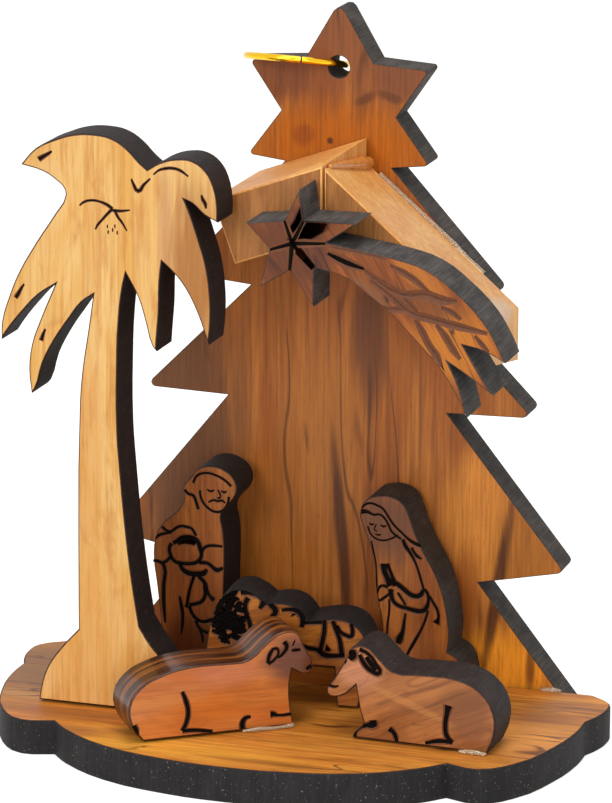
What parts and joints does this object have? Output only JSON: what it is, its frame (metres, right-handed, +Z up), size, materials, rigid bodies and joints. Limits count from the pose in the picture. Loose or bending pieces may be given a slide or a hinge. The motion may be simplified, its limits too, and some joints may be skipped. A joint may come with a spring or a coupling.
{
  "type": "olive wood nativity scene",
  "caption": "Nativity scene of laser-cut wood plates glued to a scalloped base, with a star-topped tree, a palm, a roof with a comet, figures, animals and a ring for hanging.",
  "frame": {"origin": "under the middle of the whole object, at the height of the table", "axes": "+Z up through the tree's star, -Y towards the viewer that the figures face, +X to the viewer's right"},
  "size_m": [0.0794, 0.0517, 0.0925],
  "materials": {
    "base_wood": "satin varnish, charred edges",
    "tree_wood": "satin varnish, charred edges",
    "palm_wood": "satin varnish, charred edges",
    "roof_wood": "sawn and sanded",
    "comet_wood": "satin varnish, charred edges",
    "figure_wood": "satin varnish, burnt lines",
    "animal_wood": "gloss varnish, burnt lines",
    "gilt_wire": "polished"
  },
  "bodies": {
    "root": {"base": "base_wood", "tree_backboard": "tree_wood", "palm_tree": "palm_wood", "roof_left": "roof_wood", "roof_right": "roof_wood", "comet_star": "comet_wood", "joseph_figure": "figure_wood", "mary_figure": "figure_wood", "manger_baby": "figure_wood", "left_animal": "animal_wood", "right_animal": "animal_wood"},
    "ring": {"hanging_ring": "gilt_wire"}
  },
  "joints": [
    {"name": "ring_swing", "type": "hinge", "parent": "root", "child": "ring", "pos_m": [0.0013, 0.0191, 0.0848], "axis": [0, 1, 0], "range_deg": [0, 177]}
  ]
}
